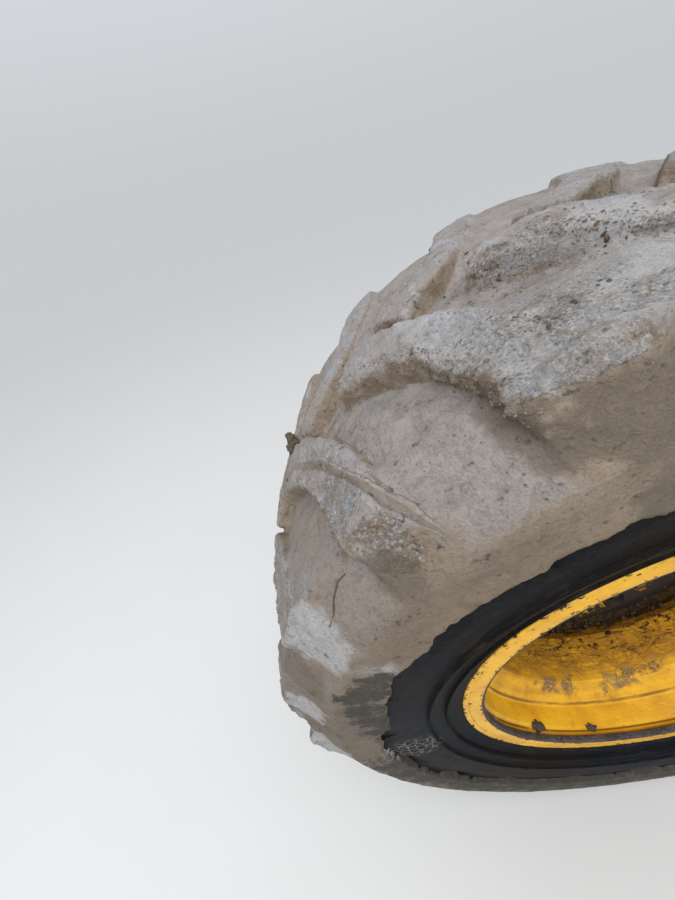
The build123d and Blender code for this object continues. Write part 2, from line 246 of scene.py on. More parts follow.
shaft_steel = bare_metal("bare_steel", (0.46, 0.44, 0.41), (0.16, 0.085, 0.045))
dressed_part("drive_shaft", "splined_shaft", shaft_steel, "shaft", "bare_steel", 0.0008, 1)


# Hub drum: the hub's iron casting, which turns on the spindle and carries the pressed-in studs.
# Yellow paint over the casting, dull with grease and mud.
yellow = (0.9, 0.5, 0.022)
yellow_shade = (0.74, 0.36, 0.012)
wet_muck = (0.046, 0.033, 0.023)


def muddy_paint(name, mud, amount, wear=0.64):
    """Yellow paint with worn spots and mud: amount says how much of it the mud takes."""
    material, shader, place = new_finish(name)
    broad = blots(place, 0.07, 6.0, 0.68)
    fine = blots(place, 0.008, 5.0, 0.7)
    mixed = sums("ADD", broad, times(fine, 0.35))
    mud_share = between(mixed, 0.86 - amount * 0.4, 0.94 - amount * 0.4)
    chips = between(blots(place, 0.012, 7.0, 0.75), wear, wear + 0.02)
    colour = layered(yellow, (yellow_shade, between(broad, 0.3, 0.7)), ((0.02, 0.014, 0.012), chips),
                     (mud, mud_share))
    surface(shader, colour, between(mud_share, 0.0, 1.0, 0.38, 0.85), (fine, 0.0008), (mud_share, 0.0015))
    return material


hub_paint = muddy_paint("hub_iron", (0.07, 0.05, 0.036), 0.55)
dressed_part("hub_drum", "hub_casting", hub_paint, "wheel", "hub_iron", 0.0015)


# Gear ring: the ring gear's housing, bolted between the drum and the cover.
# The same yellow paint on a turned iron ring.
dressed_part("gear_ring", "gear_ring_housing", hub_paint, "wheel", "hub_iron", 0.0015)


# Hub cover: a domed iron cover that closes the planetary gear.
# Painted with the hub, with rounded casting edges.
dressed_part("hub_cover", "domed_cover", hub_paint, "wheel", "hub_iron", 0.003, 3)


# Cover bolts and oil plugs: hexagon heads with a chamfered crown, screwed down on the cover.
# Zinc-plated steel, dull and dirty.
bolt_steel = bare_metal("bolt_steel", (0.34, 0.31, 0.27), (0.1, 0.075, 0.055), 0.0002)
dressed_part("cover_bolts", "cover_bolt_heads", bolt_steel, "wheel", "bolt_steel", 0.0012)
dressed_part("cover_plugs", "oil_plugs", bolt_steel, "wheel", "bolt_steel", 0.0012)


# Wheel disc: a dished steel plate welded in the rim, with hand holes and stud holes.
# Yellow paint, caked with black muck in patches.
disc_paint = muddy_paint("disc_paint", wet_muck, 0.75)
dressed_part("wheel_disc", "dished_disc", disc_paint, "wheel", "rim_paint", 0.002)


# Wheel nuts: ten hexagon nuts on the hub's studs.
# Dull steel, tarnished in spots.
dressed_part("wheel_nuts", "wheel_nut_set", bolt_steel, "wheel", "bolt_steel", 0.0015)


# Rim: rolled steel with a deep well, and a flat ring welded in each lip.
# Yellow paint, chipped along the lip and the seams, smeared and then caked with muck towards the disc,
# where the black band is partly muck and partly painted shade.
def along_line(value, middle, reach):
    """1 on a line where the value has its middle, fading to 0 at its reach."""
    return between(sums("ABSOLUTE", sums("SUBTRACT", value, middle)), reach, reach * 0.4)


def blurred(value, pattern, amount):
    """The value, shifted up or down by a cloudy pattern: by half the amount at most."""
    return sums("ADD", value, times(sums("SUBTRACT", pattern, 0.5), amount))


def axes_of(place):
    """The x, y and z of the coordinates and their radius from the wheel axis."""
    x, y, z = new_node(place, "SeparateXYZ", {0: place}).outputs
    return x, y, z, sums("SQRT", sums("ADD", times(x, x), times(z, z)))


def rim_finish():
    """Yellow rim paint: its dirt, and a band of painted shade deepest in by the disc, follow the depth in
    from the nearer face, and its chips the edges.
    """
    material, shader, place = new_finish("rim_paint", 0.35)
    low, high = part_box("rim_base")
    _, y, _, radius = axes_of(place)
    from_middle = sums("ABSOLUTE", sums("SUBTRACT", y, (low.y + high.y) / 2))
    depth = sums("SUBTRACT", (high.y - low.y) / 2, from_middle)
    broad = blots(place, 0.06, 6.0, 0.65)
    middle = blots(place, 0.024, 6.0, 0.7, 0.8)
    fine = blots(place, 0.006, 6.0, 0.7)
    dots = blots(place, 0.0026, 3.0)
    streaks = blots(stretched(place, 5.0, 70.0, 5.0), 1.0, 6.0, 0.7)
    fibres = blots(stretched(place, 1.0, 2.2, 1.0), 0.03, 6.0, 0.66, 2.0)
    deep = blurred(depth, broad, 0.09)
    inside = between(depth, 0.0185, 0.0225)

    smear = times(between(deep, 0.1, 0.125), between(middle, 0.42, 0.56))
    rusty = times(between(deep, 0.1, 0.165), between(fibres, 0.46, 0.6))
    crumb_band = times(along_line(deep, 0.098, 0.022), between(middle, 0.42, 0.48),
                       between(blots(place, 0.1, 2.0), 0.47, 0.53))
    crumb_tone = tint(between(dots, 0.42, 0.58), (0.075, 0.045, 0.028), (0.38, 0.25, 0.13))
    fleck_noise = blots(stretched(place, 1.0, 2.4, 1.0), 0.024, 6.0, 0.72, 0.8)
    flecks = times(between(deep, 0.108, 0.185), between(fleck_noise, 0.555, 0.585))
    # Black band deepest in, where the rim meets the disc: partly wet muck, partly painted shade.
    muck_and_shade = between(blurred(depth, middle, 0.1), 0.214, 0.224)

    ledge = times(along_line(depth, 0.067, 0.003), between(streaks, 0.3, 0.55))
    seam = times(along_line(depth, 0.0205, 0.0022), between(broad, 0.25, 0.45))
    strip = times(between(radius, 0.332, 0.3312), between(blurred(depth, fine, 0.006), 0.014, 0.0125))
    strip_tone = tint(between(middle, 0.4, 0.6), (0.03, 0.027, 0.029), (0.07, 0.056, 0.05))
    strip_tone = layered(strip_tone, ((0.19, 0.16, 0.135), between(dots, 0.54, 0.62), 0.6))

    at_edge = sums("MAXIMUM", along_line(radius, 0.3605, 0.0045), along_line(radius, 0.3335, 0.0035))
    at_edge = sums("MAXIMUM", at_edge, times(along_line(radius, 0.3527, 0.003), 0.5))
    at_edge = times(at_edge, between(depth, 0.012, 0.006), 0.115)
    chips = between(sums("ADD", blots(place, 0.011, 5.0, 0.75), at_edge), 0.665, 0.675)
    film = between(blots(place, 0.03, 6.0, 0.7), 0.55, 0.75)

    colour = layered(
        tint(between(broad, 0.35, 0.7), yellow, yellow_shade),
        ((0.46, 0.2, 0.012), between(deep, 0.045, 0.12), between(streaks, 0.38, 0.62), 0.75),
        ((0.43, 0.205, 0.018), smear, 0.85),
        ((0.34, 0.145, 0.012), rusty, 0.8),
        (crumb_tone, crumb_band, 0.85),
        ((0.62, 0.33, 0.06), between(deep, 0.095, 0.11), along_line(fibres, 0.5, 0.01), 0.8),
        ((0.028, 0.018, 0.012), flecks),
        # painted shade with the wet muck, deepest in by the disc
        (wet_muck, muck_and_shade),
        ((0.21, 0.105, 0.018), muck_and_shade, between(middle, 0.44, 0.56), 0.6),
        ((0.13, 0.05, 0.012), sums("MAXIMUM", ledge, seam), 0.8),
        (strip_tone, strip),
        ((0.026, 0.018, 0.015), chips),
        ((0.42, 0.24, 0.07), film, 0.3))
    dirt = sums("MAXIMUM", sums("MAXIMUM", muck_and_shade, rusty), sums("MAXIMUM", strip, chips))
    surface(shader, colour, between(dirt, 0.0, 1.0, 0.4, 0.78), (fine, 0.0003), (smear, 0.0008),
            (times(crumb_band, dots), 0.0015), (muck_and_shade, 0.004), (chips, -0.0004),
            (times(fibres, inside), 0.0012), (flecks, 0.001))
    return material


rim_paint = rim_finish()
dressed_part("rim_base", "rolled_rim", rim_paint, "wheel", "rim_paint", 0.0025, 3)
for node, name in (("outer_ring", "outer_flat_ring"), ("inner_ring", "inner_flat_ring")):
    dressed_part(node, name, rim_paint, "wheel", "rim_paint", 0.0015, 3)


# Tyre valve: a brass stem clamped through the rim wall, with a black plastic cap.
# Dull brass and scuffed plastic.
brass = bare_metal("valve_metal", (0.56, 0.38, 0.16), (0.14, 0.1, 0.06), 0.0003)
dressed_part("valve_stem", "brass_valve", brass, "wheel", "valve_metal", 0.0008)
material, shader, place = new_finish("valve_plastic")
scuffs = blots(place, 0.004, 5.0)
surface(shader, tint(scuffs, (0.012, 0.012, 0.013), (0.06, 0.055, 0.05)),
        between(scuffs, 0.3, 0.7, 0.35, 0.6), (scuffs, 0.0002))
dressed_part("valve_cap", "valve_cap_moulded", material, "wheel", "valve_plastic", 0.0012)


# Tyre: black rubber, moulded with two rows of chevron lugs and a few fine rings above the rim.
# Mud hides all of it but the ring round the rim, which is washed clean and wet.
tyre_low, tyre_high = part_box("tyre")
rim_low, rim_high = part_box("rim_base")
outer_face = rim_low.y
wheel_centre = (rim_low.y + rim_high.y) / 2
half_width = (rim_high.y - rim_low.y) / 2
flange_radius = rim_high.x
rubber_hidden_from = 0.535
rubber_sinks = 0.012

# Height above the rim's flange of each moulded ring, and how far the sidewall stands out there
ring_lines = ((0.03, 0.0135), (0.06, 0.0205))
ring_proud = 0.0004
ring_root = 0.004


def primitive(name, add, **settings):
    """A new primitive shape under a name."""
    bpy.ops.object.select_all(action="DESELECT")
    add(**settings)
    bpy.context.object.name = name
    return bpy.context.object


def spun(name, outline, steps):
    """A closed outline of (y, radius) points spun about the wheel axis, from a circle's points."""
    piece = primitive(name, bpy.ops.mesh.primitive_circle_add, vertices=len(outline))
    for vertex, (y, radius) in zip(piece.data.vertices, outline):
        vertex.co = (radius, y, 0.0)
    round_the_wheel = {"steps": steps, "angle": 2 * math.pi, "center": (0, 0, 0), "axis": (0, 1, 0)}
    edited(piece, (bpy.ops.mesh.spin, round_the_wheel),
           (bpy.ops.mesh.remove_doubles, {"threshold": 0.00005}),
           (bpy.ops.mesh.normals_make_consistent, {"inside": False}))
    return piece


def joined(main, *others):
    """The other pieces become part of the main one."""
    select_only(main)
    for piece in others:
        piece.select_set(True)
    bpy.ops.object.join()
    return main


def rows_of(piece, kind="co"):
    """The places or the normals of the piece's points, one row each."""
    rows = np.empty(len(piece.data.vertices) * 3)
    piece.data.vertices.foreach_get(kind, rows)
    return rows.reshape(-1, 3)


def moved_to(piece, places):
    """The piece's points are moved to the given places."""
    piece.data.vertices.foreach_set("co", places.ravel())
    piece.data.update()


rubber = copied("tyre", "rubber_tyre")
rounded(rubber, 0.003)
places = rows_of(rubber)
radius = np.hypot(places[:, 0], places[:, 2])
hidden = radius > rubber_hidden_from
places[hidden] -= rows_of(rubber, "normal")[hidden] * rubber_sinks / 2
places[hidden] *= (1 - rubber_sinks / radius[hidden])[:, None] ** (1, 0, 1)
moved_to(rubber, places)
for rise, proud in ring_lines:
    middle = flange_radius + rise
    for side in (-1, 1):
        face = wheel_centre + side * (half_width + proud)
        root, top = face - side * ring_root, face + side * ring_proud
        section = ((root, middle - 5 * ring_proud), (top, middle - ring_proud * 0.5),
                   (top, middle + ring_proud * 0.5), (root, middle + 5 * ring_proud))
        rubber = joined(rubber, spun("moulded_ring", section, 240))


def cells(place, size, feature="F1"):
    """Distance pattern of cells about size metres across: from the middles or from the edges."""
    inputs = {"Vector": place, "Scale": 1 / size}
    return new_node(place, "TexVoronoi", inputs, feature=feature).outputs["Distance"]


def near_spot(place, spot, reach, fade):
    """1 within a reach of a spot, fading to 0 over a further distance."""
    away = new_node(place, "VectorMath", {0: place, 1: spot}, operation="DISTANCE").outputs["Value"]
    return between(away, reach + fade, reach)


def round_the_axis(place, stretch):
    """Coordinates in which a pattern runs in long streaks round the wheel axis."""
    x, y, z, radius = axes_of(place)
    turn = times(sums("ARCTAN2", z, x), 0.5 / stretch)
    return new_node(place, "CombineXYZ", {0: radius, 1: y, 2: turn}).outputs[0]


def rubber_finish():
    """Wet black rubber, with blue-black patches that are partly painted sky reflection: faint mud film in
    patches, fine streaks, and veins of dried mud low down.
    """
    material, shader, place = new_finish("black_rubber", 0.03)
    streaks = blots(round_the_axis(place, 14.0), 0.006, 5.0, 0.7)
    middle = blots(place, 0.05, 6.0, 0.65)
    fine = blots(place, 0.004, 5.0, 0.7)
    # Darker, blue-black patches: partly wet rubber, partly painted sky reflection.
    wet_and_sky_tint = between(blots(place, 0.35, 2.0), 0.4, 0.6)
    film = times(between(streaks, 0.48, 0.66), between(middle, 0.42, 0.62))
    splashes = between(blots(place, 0.012, 6.0, 0.7), 0.66, 0.69)
    veins = times(between(cells(place, 0.016, "DISTANCE_TO_EDGE"), 0.085, 0.045),
                  near_spot(place, (-0.452, -0.63, -0.112), 0.034, 0.024))
    colour = layered(
        # painted sky reflection in the blue-black patches
        tint(wet_and_sky_tint, (0.011, 0.0095, 0.008), (0.0065, 0.0085, 0.013)),
        ((0.022, 0.021, 0.021), between(fine, 0.5, 0.65), 0.5),
        ((0.08, 0.06, 0.038), film, 0.45),
        ((0.1, 0.08, 0.06), splashes, 0.6),
        ((0.175, 0.17, 0.148), veins, 0.9))
    surface(shader, colour, between(film, 0.0, 1.0, 0.42, 0.72), (fine, 0.001), (streaks, 0.0018),
            (middle, 0.0018), (veins, 0.0008))
    return material


dress(rubber, rubber_finish(), "wheel", "tyre", "tyre")


# Mud: dried mud caked on the tyre, smooth in the gaps, where it ramps up to the next lug, and
# crusted on the lugs. It ends in a torn edge where water has washed the sidewall clean.
lug_count = 19
lug_pitch = 360.0 / lug_count
first_lug = 135.3
far_row_shift = 0.6
lug_edge = 0.18
lug_tread_radius = 0.66

# Distance in from the outer face and run round the tread of a lug's centre line; then (distance in,
# radius) of the bare tyre and of the lugs' tips, which the mud's surface lies between
lug_line = ((-0.03, -0.007), (0.06, 0.015), (0.145, 0.05), (0.216, 0.108), (0.276, 0.19))
bare_outline = ((-0.019, 0.47), (-0.022, 0.505), (-0.016, 0.545), (-0.004, 0.585), (0.038, 0.616),
                (0.276, 0.628))
tip_outline = ((-0.02, 0.476), (-0.026, 0.515), (-0.0295, 0.558), (-0.01, 0.602), (0.012, 0.648),
               (0.276, 0.669))

# How full the gap past each lug is at its start and at its end, going round from the first lug. The
# last gap is the hollow bowl below it, and the one before that is packed full.
gap_fill = ((0.35, 0.92), (0.3, 0.9), (0.22, 0.72), (0.25, 0.85), (0.45, 0.9), (0.2, 0.7), (0.5, 0.85),
            (0.3, 0.9), (0.15, 0.75), (0.4, 0.9), (0.3, 0.8), (0.55, 0.9), (0.25, 0.85), (0.35, 0.8),
            (0.2, 0.85), (0.45, 0.9), (0.3, 0.8), (0.1, 0.5), (0.05, 0.5))
bowl_gap = lug_count - 1
packed_gap = lug_count - 2

# How crumbly each lug's lower edge is, going round from the first lug
crumbly_lugs = (0.3, 0.1, 0.1, 0.5, 0.3, 0.8, 0.4, 0.2, 0.6, 0.3, 0.7, 0.2, 0.5, 0.3, 0.6, 0.4, 0.3, 0.85,
                1.0)

# Angle and radius of the edge that the washing left, all round the outer side
mud_line = ((-170, 0.512), (-150, 0.507), (-110, 0.508), (-75, 0.506), (-40, 0.498), (-10, 0.488),
            (20, 0.499), (60, 0.488), (95, 0.492), (114, 0.494), (124, 0.488), (132, 0.488), (139, 0.497),
            (150, 0.494), (154, 0.5), (166, 0.495), (177, 0.481), (181.5, 0.515))
far_line_shift = -0.045


def wheel_places(places):
    """Angle from +X towards +Z, radius and distance in from the nearer face of each place."""
    angle = np.degrees(np.arctan2(places[:, 2], places[:, 0]))
    radius = np.hypot(places[:, 0], places[:, 2])
    return angle, radius, half_width - np.abs(places[:, 1] - wheel_centre)


def lug_turn(places):
    """Which lug each place is at, in pitches on from the first lug: whole on a lug's centre line."""
    angle, _, inboard = wheel_places(places)
    run = np.interp(inboard, *zip(*lug_line))
    shift = np.where(places[:, 1] > wheel_centre, far_row_shift, 0.0)
    return (angle - first_lug - np.degrees(run / lug_tread_radius)) / lug_pitch - shift


def soft_step(values, low, high):
    """Smooth step from 0 at low to 1 at high."""
    share = np.clip((values - low) / (high - low), 0, 1)
    return share * share * (3 - 2 * share)


def lumps(places, size, octaves=2, seed=1):
    """Cloudy numbers from -1 to 1 at each place, with lumps about size metres across."""
    total = np.zeros(len(places))
    for octave in range(octaves):
        grid = places * (2 ** octave / size) + 7.31 * seed
        corner = np.floor(grid).astype(np.int64)
        share = grid - corner
        share = share * share * (3 - 2 * share)
        for step in itertools.product((0, 1), repeat=3):
            x, y, z = (corner + step).T
            mixed = x * 73856093 ^ y * 19349663 ^ z * 83492791 ^ (seed + octave) * 2654435761
            mixed = (mixed ^ mixed >> 13) * 1274126177 & 0xFFFFFFFF
            mixed = (mixed ^ mixed >> 15) & 0xFFFF
            weight = np.prod(np.where(step, share, 1 - share), axis=1)
            total += weight * (mixed / 32767.5 - 1) * 0.55 ** octave
    return total


def gap_of(turn):
    """The number of the gap that each place is in, and how far across it the place is."""
    gap = np.floor(turn)
    return gap.astype(int) % lug_count, turn - gap


def gap_depth(turn):
    """Share of the gap's depth that the mud fills at each place."""
    gap, share = gap_of(turn)
    start, end = np.array(gap_fill)[gap].T
    before = np.array(gap_fill)[gap - 1][:, 1]
    ramp = np.clip((share - lug_edge) / (1 - 2 * lug_edge), 0, 1)
    fill = start + (end - start) * (1 - (1 - ramp) ** 2.2)
    return np.where(share < lug_edge, before + (start - before) * (0.5 + share / lug_edge / 2), fill)


def mud_coat(rows=16, steps=456):
    """Ring of mud whose outside is raised between the lugs."""
    share = np.linspace(0, len(bare_outline) - 1, rows)
    bare, tip = (np.stack([np.interp(share, range(len(line)), column) for column in zip(*line)], axis=1)
                 for line in (bare_outline, tip_outline))
    outline = [(outer_face + inboard, radius) for inboard, radius in bare]
    outline += [(2 * wheel_centre - y, radius) for y, radius in reversed(outline[:-1])]
    inner = [(wheel_centre + (y - wheel_centre) * 0.93, radius - 0.02) for y, radius in reversed(outline)]
    coat = spun("mud_coat", outline + inner, steps)
    places = rows_of(coat)
    _, radius, inboard = wheel_places(places)
    apart = np.abs(inboard[:, None] - bare[:, 0]) + np.abs(radius[:, None] - bare[:, 1])
    nearest = apart.argmin(axis=1)
    outside = apart.min(axis=1) < 0.001

    far = places[:, 1] > wheel_centre
    turn = lug_turn(places)
    gap, share = gap_of(turn)
    depth = gap_depth(turn)
    fill = np.where(far, 0.4 + 0.45 * depth, depth * (1 - 0.6 * soft_step(inboard, 0.09, 0.23)))
    in_bowl = (gap == bowl_gap) & ~far
    fill += 0.35 * in_bowl * soft_step(inboard, 0.035, -0.005) * soft_step(share, 0.55, 0.15)
    packed = (gap == packed_gap) & ~far
    packed_fill = 0.93 * packed * soft_step(inboard, -0.016, 0.004) * soft_step(inboard, 0.16, 0.1)
    fill = np.maximum(fill, packed_fill)
    fill = 0.55 + (fill - 0.55) * soft_step(radius, 0.52, 0.57)
    reach = bare[nearest] + (tip[nearest] - bare[nearest]) * fill[:, None]
    turned = places * (reach[:, 1] / radius)[:, None]
    turned[:, 1] = wheel_centre + np.copysign(half_width - reach[:, 0], places[:, 1] - wheel_centre)
    places[outside] = turned[outside]
    moved_to(coat, places)
    return coat


# Where mud laps over the first lug's top: distance in, and where its top and its foot end, in pitches
lap_line = ((-0.014, -0.23, -0.22), (-0.005, -0.22, -0.18), (0.011, -0.21, -0.14), (0.077, -0.1, -0.06),
            (0.144, -0.04, 0.04), (0.2, 0.0, 0.08))
lap_height = 0.0055

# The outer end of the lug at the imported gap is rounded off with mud: distance in and angle of the
# bulge's middle, half its size across and round, in metres and degrees, and its thickness
packed_end = (0.004, 113.8, 0.034, 6.5, 0.016)


def lap_place(places):
    """Pitches on from the first lug, and where each place is from the lap's top edge, 0, to its foot, 1."""
    inboard = wheel_places(places)[2]
    past = (lug_turn(places) + lug_count / 2) % lug_count - lug_count / 2
    distances, tops, feet = zip(*lap_line)
    top_end, foot_end = np.interp(inboard, distances, tops), np.interp(inboard, distances, feet)
    return past, (past - top_end) / np.maximum(foot_end - top_end, 0.02)


def height_of(places):
    """How high each place is between the bare tyre, 0, and the lugs' tips, 1."""
    _, radius, inboard = wheel_places(places)
    bare, tip = (np.interp(inboard, *zip(*outline[2:])) for outline in (bare_outline, tip_outline))
    return (radius - bare) / (tip - bare)


def caked(piece):
    """Raises the mud's lumps, crumbs, laps and dried wrinkles out of its smooth surface."""
    places = rows_of(piece)
    _, radius, inboard = wheel_places(places)
    turn = lug_turn(places)
    near = places[:, 1] < wheel_centre
    on_lug = np.abs(turn - np.round(turn))
    tread = soft_step(radius, 0.575, 0.625)
    crusted = tread * np.maximum(soft_step(height_of(places), 0.8, 0.95), soft_step(on_lug, 0.22, 0.14))
    crusted *= soft_step(lumps(places, 0.09, 2, 5), -0.55, 0.05)
    rise = lumps(places, 0.08, 2, 1) * (0.0016 + 0.0022 * tread)
    rise += lumps(places, 0.024, 2, 2) * (0.0007 + 0.0006 * tread + 0.0018 * crusted)
    rise += np.maximum(lumps(places, 0.011, 2, 3), -0.2) * (0.0003 + 0.0024 * crusted)
    wrinkle = 1 - np.abs(lumps(places * (1.0, 0.6, 1.0), 0.045, 3, 4))
    rise += (wrinkle ** 8) * 0.0026 * tread * (1 - crusted)
    rise *= np.where(near, 1.0, 0.5)

    gap, share = gap_of(turn)
    crest = soft_step(share, 0.1, 0.155) * soft_step(share, 0.215, 0.185)
    crest *= soft_step(inboard, 0.003, 0.018) * soft_step(inboard, 0.268, 0.235)
    crest *= np.array(crumbly_lugs)[gap]
    crumbs = np.maximum(lumps(places, 0.013, 3, 6) + 0.4, 0)
    rise += crest * crumbs * 0.0105 * near
    rise += packed_end[4] * near * soft_step(reach_from(places, packed_end), 1.0, 0.2)

    past, across_lap = lap_place(places)
    lap = np.clip(1 - across_lap, 0, 1) * near
    lap *= soft_step(past, -0.62, -0.3) * soft_step(radius, 0.585, 0.625)
    rise += lap * lap_height
    moved_to(piece, places + rows_of(piece, "normal") * rise[:, None])


def reach_from(places, patch):
    """Distance of each place from the middle of a patch: 1 at its rim."""
    angle, _, inboard = wheel_places(places)
    off = (angle - patch[1] + 180) % 360 - 180
    return np.hypot((inboard - patch[0]) / patch[2], off / patch[3])


def shore_of(places):
    """How far each place lies outside the washed edge; the inner side is washed to a smaller ring."""
    angle, radius, _ = wheel_places(places)
    line = np.interp(angle, *zip(*mud_line), period=360)
    line += np.where(places[:, 1] > wheel_centre, far_line_shift, 0.0)
    flat = places * (1.0, 0.2, 1.0)
    torn = lumps(flat, 0.035, 2, 7) * 0.006 + lumps(flat, 0.011, 2, 8) * 0.003
    return radius - line - (torn + lumps(flat, 0.0045, 1, 9) * 0.0013)


tyre_copy = copied("tyre", "lugs_under_mud")
packed_mud = copied("caked_mud", "mud_in_gaps")
chamber = ((-0.586, 0.338), (-0.59, 0.36), (-0.616, 0.43), (-0.616, 0.5), (-0.602, 0.55), (-0.56, 0.59),
           (-0.336, 0.612))
chamber_outline = list(chamber) + [(2 * wheel_centre - y, radius) for y, radius in reversed(chamber[:-1])]
mud_body = joined(mud_coat(), tyre_copy, packed_mud, spun("air_chamber", chamber_outline, 120))
apply_modifier(mud_body, "REMESH", mode="VOXEL", voxel_size=0.0043, use_smooth_shade=True)
apply_modifier(mud_body, "SMOOTH", factor=0.5, iterations=4)
softer = placed("softer_mud", mud_body.data.copy())
apply_modifier(softer, "SMOOTH", factor=0.5, iterations=14)
places = rows_of(mud_body)
far_share = soft_step(places[:, 1], wheel_centre - 0.005, wheel_centre + 0.03)[:, None]
moved_to(mud_body, places + (rows_of(softer) - places) * far_share)
bpy.data.objects.remove(softer)
caked(mud_body)

# The mud is two pieces, which overlap a little where they part behind the middle of the tread
parting = wheel_centre + 0.055
parting_overlap = 0.003

# The edge stands a little proud outside the washed ring, and inside it dips under the rubber
edge_proud = 0.0034
edge_sunk = 0.012
inside_box = 0.0005


def half_of(whole, name, side):
    """A copy of the mud on one side of the parting plane, closed at the cut."""
    piece = placed(name, whole.data.copy())
    edited(piece, (bpy.ops.mesh.bisect, {"plane_co": (0, parting - side * parting_overlap, 0),
                                         "plane_no": (0, side, 0), "use_fill": True, "clear_inner": True}))
    return piece


def torn_edge(piece):
    """The mud thins to a torn edge, with finer faces there, and stays within the tyre's size."""
    select_only(piece)
    bpy.ops.object.mode_set(mode="EDIT")
    bpy.ops.mesh.select_all(action="DESELECT")
    bpy.ops.mesh.select_mode(type="FACE")
    bpy.ops.object.mode_set(mode="OBJECT")
    middles = np.empty(len(piece.data.polygons) * 3)
    piece.data.polygons.foreach_get("center", middles)
    middles = middles.reshape(-1, 3)
    near_edge = (np.abs(shore_of(middles)) < 0.008) & (wheel_places(middles)[2] < 0.01)
    piece.data.polygons.foreach_set("select", near_edge)
    bpy.ops.object.mode_set(mode="EDIT")
    bpy.ops.mesh.subdivide(number_cuts=1)
    bpy.ops.object.mode_set(mode="OBJECT")
    places = rows_of(piece)
    _, radius, inboard = wheel_places(places)
    shore = shore_of(places)
    on_side = soft_step(inboard, 0.02, 0.0) * soft_step(radius, 0.6, 0.56)
    proud = edge_proud * soft_step(shore, -0.0006, 0.0016)
    proud += 0.001 * soft_step(lumps(places, 0.02, 2, 11), -0.2, 0.6)
    sunk = edge_sunk * soft_step(shore, 0.0004, -0.003)
    places[:, 1] += np.sign(places[:, 1] - wheel_centre) * on_side * (proud - sunk)
    deep = (inboard < 0.06) & (shore < -0.02)
    off_centre = places[deep, 1] - wheel_centre
    pulled_in = np.minimum(np.abs(off_centre), half_width - edge_sunk)
    places[deep, 1] = wheel_centre + np.sign(off_centre) * pulled_in
    scale = np.minimum(1.0, (tyre_high.x - 0.0006) / np.hypot(places[:, 0], places[:, 2]))
    places[:, 0] *= scale
    places[:, 2] *= scale
    places[:, 1] = np.clip(places[:, 1], tyre_low.y + inside_box, tyre_high.y - inside_box)
    moved_to(piece, places)


# Damp patches, partly painted shadow where the bowl meets the lug above it and on lugs' outer ends, then
# pale
# and granular patches: distance in, angle, and half their size across and round, in metres and degrees
damp_and_shadow_patches = ((0.04, 122.0, 0.018, 1.2), (0.02, 121.4, 0.018, 1.5), (0.004, 120.4, 0.016, 1.7),
                (-0.011, 119.3, 0.013, 1.9), (-0.012, 114.0, 0.02, 4.5), (-0.012, 137.5, 0.014, 2.5),
                (-0.012, 178.5, 0.016, 3.0), (0.01, 163.0, 0.03, 3.5))
pale_patches = ((0.0, 152.5, 0.026, 4.5), (-0.004, 171.5, 0.014, 3.2), (-0.005, 192.0, 0.022, 6.0),
                (0.14, 117.5, 0.12, 4.0), (0.19, 121.0, 0.07, 3.5), (0.05, 97.0, 0.04, 4.0),
                (0.13, 108.5, 0.12, 6.0), (0.05, 110.5, 0.045, 5.5))
granular_patches = ((0.07, 137.9, 0.052, 2.6), (-0.001, 134.6, 0.016, 2.8), (0.085, 118.3, 0.072, 2.6),
                    (0.15, 112.0, 0.1, 4.0), (0.04, 112.5, 0.03, 5.0))


def patched(places, patches, seed):
    """How much each place lies in a patch, with torn edges."""
    torn = lumps(places, 0.03, 3, seed) * 0.45
    share = np.zeros(len(places))
    for patch in patches:
        share = np.maximum(share, soft_step(reach_from(places, patch) + torn, 1.12, 0.88))
    return share * (places[:, 1] < wheel_centre)


def outward_of(places):
    """Direction out of the tyre at each place: out of its side, turning to the radius on the tread."""
    radius = wheel_places(places)[1]
    share = np.clip((radius - 0.585) / 0.05, 0, 1)
    outward = np.stack([places[:, 0] / radius * share, np.sign(places[:, 1] - wheel_centre) * (1 - share),
                        places[:, 2] / radius * share], axis=1)
    return outward / np.linalg.norm(outward, axis=1, keepdims=True)


def measured(piece):
    """Stores what the finish follows at each point of the mud."""
    places = rows_of(piece)
    angle, radius, inboard = wheel_places(places)
    turn = lug_turn(places)
    across_lap = lap_place(places)[1]
    packed_lug = (angle > 96) & (angle < 127)
    up_on_tread = soft_step(radius, 0.634, 0.646)
    smooth_end = np.where(packed_lug, up_on_tread, 1.0)
    near = places[:, 1] < wheel_centre
    for name, values in (
            ("level", np.einsum("ij,ij->i", rows_of(piece, "normal"), outward_of(places))),
            ("height", np.clip(height_of(places), 0, 1) * smooth_end),
            ("lug", np.abs(turn - np.round(turn))),
            ("shore", shore_of(places)),
            ("pale", patched(places, pale_patches, 21) * smooth_end),
            ("granular", patched(places, granular_patches, 22) * smooth_end),
            ("damp_and_shadow", patched(places, damp_and_shadow_patches, 23) * np.where(packed_lug, 1 - up_on_tread, 1.0)),
            ("lap", np.clip(across_lap, -6, 7)),
            ("lapped", near * soft_step(inboard, 0.155, 0.135) * soft_step(radius, 0.583, 0.592))):
        layer = piece.data.attributes.new(name, "FLOAT", "POINT")
        layer.data.foreach_set("value", values.astype(np.float32))


mud_pieces = []
for name, side, most_triangles in (("mud_on_outer_row", -1, 190000), ("mud_on_inner_row", 1, 110000)):
    cake = half_of(mud_body, name, side)
    torn_edge(cake)
    cake.data.calc_loop_triangles()
    apply_modifier(cake, "DECIMATE", ratio=min(1.0, most_triangles / len(cake.data.loop_triangles)))
    measured(cake)
    select_only(cake)
    bpy.ops.object.shade_smooth()
    mud_pieces.append(cake)
bpy.data.objects.remove(mud_body)


def attribute_of(shader, name):
    """A number stored on the piece's points."""
    return new_node(shader, "Attribute", {}, attribute_name=name).outputs["Fac"]


